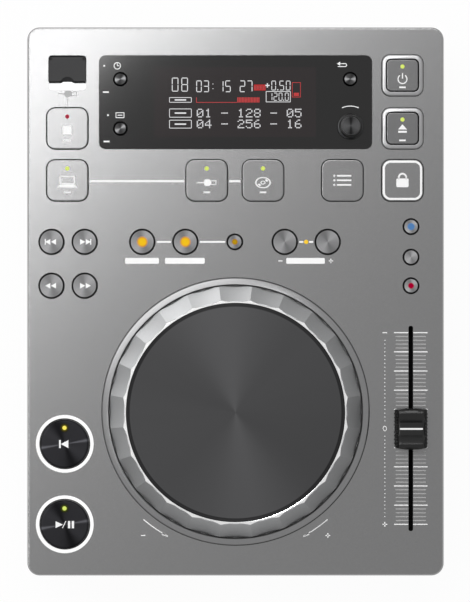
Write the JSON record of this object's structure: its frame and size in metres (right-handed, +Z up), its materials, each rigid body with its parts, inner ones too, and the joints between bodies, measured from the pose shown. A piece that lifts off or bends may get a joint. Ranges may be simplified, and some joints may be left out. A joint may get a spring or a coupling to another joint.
{
  "type": "tabletop disc player with jog wheel",
  "caption": "Flat-topped tabletop disc player with a large jog wheel, pitch fader, display window, push buttons and a front disc slot.",
  "frame": {"origin": "centre of the footprint, on the surface that the feet stand on", "axes": "+Z up, +Y towards the rear sockets, -Y towards the disc slot at the front, +X towards the pitch fader"},
  "size_m": [0.2184, 0.2874, 0.1055],
  "materials": {
    "silver_shell": "metallic silver-grey paint on moulded plastic, fine flake",
    "case_black": "fine spark-eroded moulded plastic",
    "port_black": "satin moulded plastic",
    "port_metal": "plated shell in a black tub",
    "foot_rubber": "matt rubber",
    "roller_rubber": "matt rubber",
    "fasteners": "zinc plated",
    "sheet_steel": "zinc-plated sheet",
    "ground_steel": "ground rod",
    "motor_steel": "plated motor cans",
    "socket_plastic": "socket bodies",
    "slot_gloss": "gloss black moulding",
    "felt": "black felt",
    "window_tint": "tinted gloss acrylic",
    "display_glass": "display tube behind the window",
    "circuit_green": "circuit board",
    "components": "components",
    "trim_silver": "bright silver and lit white trims",
    "button_silver": "metallic silver-grey paint",
    "button_spun": "spun top, circular brushing",
    "transport_black": "dark spun finish",
    "knob_black": "satin black, knurled skirt",
    "dial_silver": "bright silver paint",
    "platter_grey": "dark grey with fine circular brushing",
    "fader_black": "semi-gloss black",
    "drive_plastic": "drive mouldings",
    "gear_white": "white gear plastic"
  },
  "bodies": {
    "root": {"top_panel": "silver_shell", "side_frame": "silver_shell", "lower_case": "case_black", "jog_base": "case_black", "port_socket": "port_metal", "rubber_feet": "foot_rubber", "screws_and_spacers": "fasteners", "rear_plate": "sheet_steel", "drive_chassis": "sheet_steel", "drive_lid": "sheet_steel", "fader_body": "sheet_steel", "guide_rods": "ground_steel", "drive_motors": "motor_steel", "rear_sockets": "socket_plastic", "panel_switches": "socket_plastic", "slot_bezel": "slot_gloss", "slot_felts": "felt", "display_window": "window_tint", "display_module": "display_glass", "circuit_boards": "circuit_green", "board_parts": "components", "trim_rings": "trim_silver"},
    "cue_button": {"cue_button": "transport_black"},
    "play_button": {"play_button": "transport_black"},
    "track_back_button": {"track_back_button": "button_spun"},
    "track_forward_button": {"track_forward_button": "button_spun"},
    "search_back_button": {"search_back_button": "button_spun"},
    "search_forward_button": {"search_forward_button": "button_spun"},
    "loop_in_button": {"loop_in_button": "button_spun"},
    "loop_out_button": {"loop_out_button": "button_spun"},
    "reloop_button": {"reloop_button": "button_spun"},
    "beat_minus_button": {"beat_minus_button": "button_spun"},
    "beat_plus_button": {"beat_plus_button": "button_spun"},
    "vinyl_button": {"vinyl_button": "button_spun"},
    "tempo_range_button": {"tempo_range_button": "button_spun"},
    "master_tempo_button": {"master_tempo_button": "button_spun"},
    "usb_stop_button": {"usb_stop_button": "button_silver"},
    "computer_button": {"computer_button": "button_silver"},
    "usb_source_button": {"usb_source_button": "button_silver"},
    "disc_source_button": {"disc_source_button": "button_silver"},
    "playlist_button": {"playlist_button": "button_silver"},
    "bpm_lock_button": {"bpm_lock_button": "button_silver"},
    "power_button": {"power_button": "button_silver"},
    "eject_button": {"eject_button": "button_silver"},
    "time_mode_button": {"time_mode_button": "button_spun"},
    "display_mode_button": {"display_mode_button": "button_spun"},
    "back_button": {"back_button": "button_spun"},
    "jog_dial": {"jog_dial": "dial_silver"},
    "jog_platter": {"jog_platter": "platter_grey"},
    "encoder_rotor": {"encoder_rotor": "socket_plastic"},
    "select_knob": {"select_knob": "knob_black"},
    "port_door": {"port_door": "port_black"},
    "fader_cap": {"fader_cap": "fader_black"},
    "roller_frame": {"roller_frame": "sheet_steel"},
    "loading_roller": {"loading_roller": "roller_rubber"},
    "clamp_arm": {"clamp_arm": "sheet_steel"},
    "clamper": {"clamper": "drive_plastic"},
    "turntable": {"turntable": "drive_plastic"},
    "pickup_sled": {"pickup_sled": "drive_plastic"},
    "feed_pinion": {"feed_pinion": "gear_white"}
  },
  "joints": [
    {"name": "jog_spin", "type": "hinge", "parent": "root", "child": "jog_dial", "pos_m": [0, -0.0577, 0.091], "axis": [0, 0, 1], "continuous": true},
    {"name": "jog_press", "type": "slide", "parent": "jog_dial", "child": "jog_platter", "axis": [0, 0, 1], "range_m": [-0.0005, 0], "stiffness_N_per_m": 800, "springref_m": 0.001},
    {"name": "select_turn", "type": "hinge", "parent": "root", "child": "encoder_rotor", "pos_m": [0.0602, 0.0917, 0.0725], "axis": [0, 0, 1], "continuous": true},
    {"name": "select_press", "type": "slide", "parent": "encoder_rotor", "child": "select_knob", "axis": [0, 0, 1], "range_m": [-0.0005, 0], "stiffness_N_per_m": 300, "springref_m": 0.0006},
    {"name": "port_door_lift", "type": "hinge", "parent": "root", "child": "port_door", "pos_m": [-0.0882, 0.1277, 0.0838], "axis": [-1, 0, 0], "range_deg": [0, 95]},
    {"name": "pitch_slide", "type": "slide", "parent": "root", "child": "fader_cap", "axis": [0, 1, 0], "range_m": [-0.05, 0.05]},
    {"name": "roller_lift", "type": "hinge", "parent": "root", "child": "roller_frame", "pos_m": [0, -0.10425, 0.018], "axis": [-1, 0, 0], "range_deg": [0, 9]},
    {"name": "roller_spin", "type": "hinge", "parent": "roller_frame", "child": "loading_roller", "pos_m": [0, -0.12825, 0.0234], "axis": [1, 0, 0], "continuous": true},
    {"name": "clamp_close", "type": "hinge", "parent": "root", "child": "clamp_arm", "pos_m": [0, -0.00975, 0.038], "axis": [1, 0, 0], "range_deg": [0, 4.2]},
    {"name": "clamper_spin", "type": "hinge", "parent": "clamp_arm", "child": "clamper", "pos_m": [0, -0.074, 0.0325], "axis": [0, 0, 1], "continuous": true},
    {"name": "spindle_spin", "type": "hinge", "parent": "root", "child": "turntable", "pos_m": [0, -0.074, 0.0262], "axis": [0, 0, 1], "continuous": true},
    {"name": "sled_feed", "type": "slide", "parent": "root", "child": "pickup_sled", "axis": [0, 1, 0], "range_m": [0, 0.034]},
    {"name": "pinion_spin", "type": "hinge", "parent": "root", "child": "feed_pinion", "pos_m": [0.037, -0.046, 0.016], "axis": [0, 0, 1], "range_deg": [-330, 0]},
    {"name": "cue_press", "type": "slide", "parent": "root", "child": "cue_button", "axis": [0, 0, 1], "range_m": [-0.0008, 0], "stiffness_N_per_m": 200, "springref_m": 0.0005},
    {"name": "play_press", "type": "slide", "parent": "root", "child": "play_button", "axis": [0, 0, 1], "range_m": [-0.0008, 0], "stiffness_N_per_m": 200, "springref_m": 0.0005},
    {"name": "track_back_press", "type": "slide", "parent": "root", "child": "track_back_button", "axis": [0, 0, 1], "range_m": [-0.0008, 0], "stiffness_N_per_m": 200, "springref_m": 0.0005},
    {"name": "track_forward_press", "type": "slide", "parent": "root", "child": "track_forward_button", "axis": [0, 0, 1], "range_m": [-0.0008, 0], "stiffness_N_per_m": 200, "springref_m": 0.0005},
    {"name": "search_back_press", "type": "slide", "parent": "root", "child": "search_back_button", "axis": [0, 0, 1], "range_m": [-0.0008, 0], "stiffness_N_per_m": 200, "springref_m": 0.0005},
    {"name": "search_forward_press", "type": "slide", "parent": "root", "child": "search_forward_button", "axis": [0, 0, 1], "range_m": [-0.0008, 0], "stiffness_N_per_m": 200, "springref_m": 0.0005},
    {"name": "loop_in_press", "type": "slide", "parent": "root", "child": "loop_in_button", "axis": [0, 0, 1], "range_m": [-0.0008, 0], "stiffness_N_per_m": 200, "springref_m": 0.0005},
    {"name": "loop_out_press", "type": "slide", "parent": "root", "child": "loop_out_button", "axis": [0, 0, 1], "range_m": [-0.0008, 0], "stiffness_N_per_m": 200, "springref_m": 0.0005},
    {"name": "reloop_press", "type": "slide", "parent": "root", "child": "reloop_button", "axis": [0, 0, 1], "range_m": [-0.0008, 0], "stiffness_N_per_m": 200, "springref_m": 0.0005},
    {"name": "beat_minus_press", "type": "slide", "parent": "root", "child": "beat_minus_button", "axis": [0, 0, 1], "range_m": [-0.0008, 0], "stiffness_N_per_m": 200, "springref_m": 0.0005},
    {"name": "beat_plus_press", "type": "slide", "parent": "root", "child": "beat_plus_button", "axis": [0, 0, 1], "range_m": [-0.0008, 0], "stiffness_N_per_m": 200, "springref_m": 0.0005},
    {"name": "vinyl_press", "type": "slide", "parent": "root", "child": "vinyl_button", "axis": [0, 0, 1], "range_m": [-0.0008, 0], "stiffness_N_per_m": 200, "springref_m": 0.0005},
    {"name": "tempo_range_press", "type": "slide", "parent": "root", "child": "tempo_range_button", "axis": [0, 0, 1], "range_m": [-0.0008, 0], "stiffness_N_per_m": 200, "springref_m": 0.0005},
    {"name": "master_tempo_press", "type": "slide", "parent": "root", "child": "master_tempo_button", "axis": [0, 0, 1], "range_m": [-0.0008, 0], "stiffness_N_per_m": 200, "springref_m": 0.0005},
    {"name": "usb_stop_press", "type": "slide", "parent": "root", "child": "usb_stop_button", "axis": [0, 0, 1], "range_m": [-0.0008, 0], "stiffness_N_per_m": 200, "springref_m": 0.0005},
    {"name": "computer_press", "type": "slide", "parent": "root", "child": "computer_button", "axis": [0, 0, 1], "range_m": [-0.0008, 0], "stiffness_N_per_m": 200, "springref_m": 0.0005},
    {"name": "usb_source_press", "type": "slide", "parent": "root", "child": "usb_source_button", "axis": [0, 0, 1], "range_m": [-0.0008, 0], "stiffness_N_per_m": 200, "springref_m": 0.0005},
    {"name": "disc_source_press", "type": "slide", "parent": "root", "child": "disc_source_button", "axis": [0, 0, 1], "range_m": [-0.0008, 0], "stiffness_N_per_m": 200, "springref_m": 0.0005},
    {"name": "playlist_press", "type": "slide", "parent": "root", "child": "playlist_button", "axis": [0, 0, 1], "range_m": [-0.0008, 0], "stiffness_N_per_m": 200, "springref_m": 0.0005},
    {"name": "bpm_lock_press", "type": "slide", "parent": "root", "child": "bpm_lock_button", "axis": [0, 0, 1], "range_m": [-0.0008, 0], "stiffness_N_per_m": 200, "springref_m": 0.0005},
    {"name": "power_press", "type": "slide", "parent": "root", "child": "power_button", "axis": [0, 0, 1], "range_m": [-0.0008, 0], "stiffness_N_per_m": 200, "springref_m": 0.0005},
    {"name": "eject_press", "type": "slide", "parent": "root", "child": "eject_button", "axis": [0, 0, 1], "range_m": [-0.0008, 0], "stiffness_N_per_m": 200, "springref_m": 0.0005},
    {"name": "time_mode_press", "type": "slide", "parent": "root", "child": "time_mode_button", "axis": [0, 0, 1], "range_m": [-0.0008, 0], "stiffness_N_per_m": 200, "springref_m": 0.0005},
    {"name": "display_mode_press", "type": "slide", "parent": "root", "child": "display_mode_button", "axis": [0, 0, 1], "range_m": [-0.0008, 0], "stiffness_N_per_m": 200, "springref_m": 0.0005},
    {"name": "back_press", "type": "slide", "parent": "root", "child": "back_button", "axis": [0, 0, 1], "range_m": [-0.0008, 0], "stiffness_N_per_m": 200, "springref_m": 0.0005}
  ],
  "couplings": [
    {"joint": "pinion_spin", "follows": "sled_feed", "rad_per_m": -166.67}
  ]
}
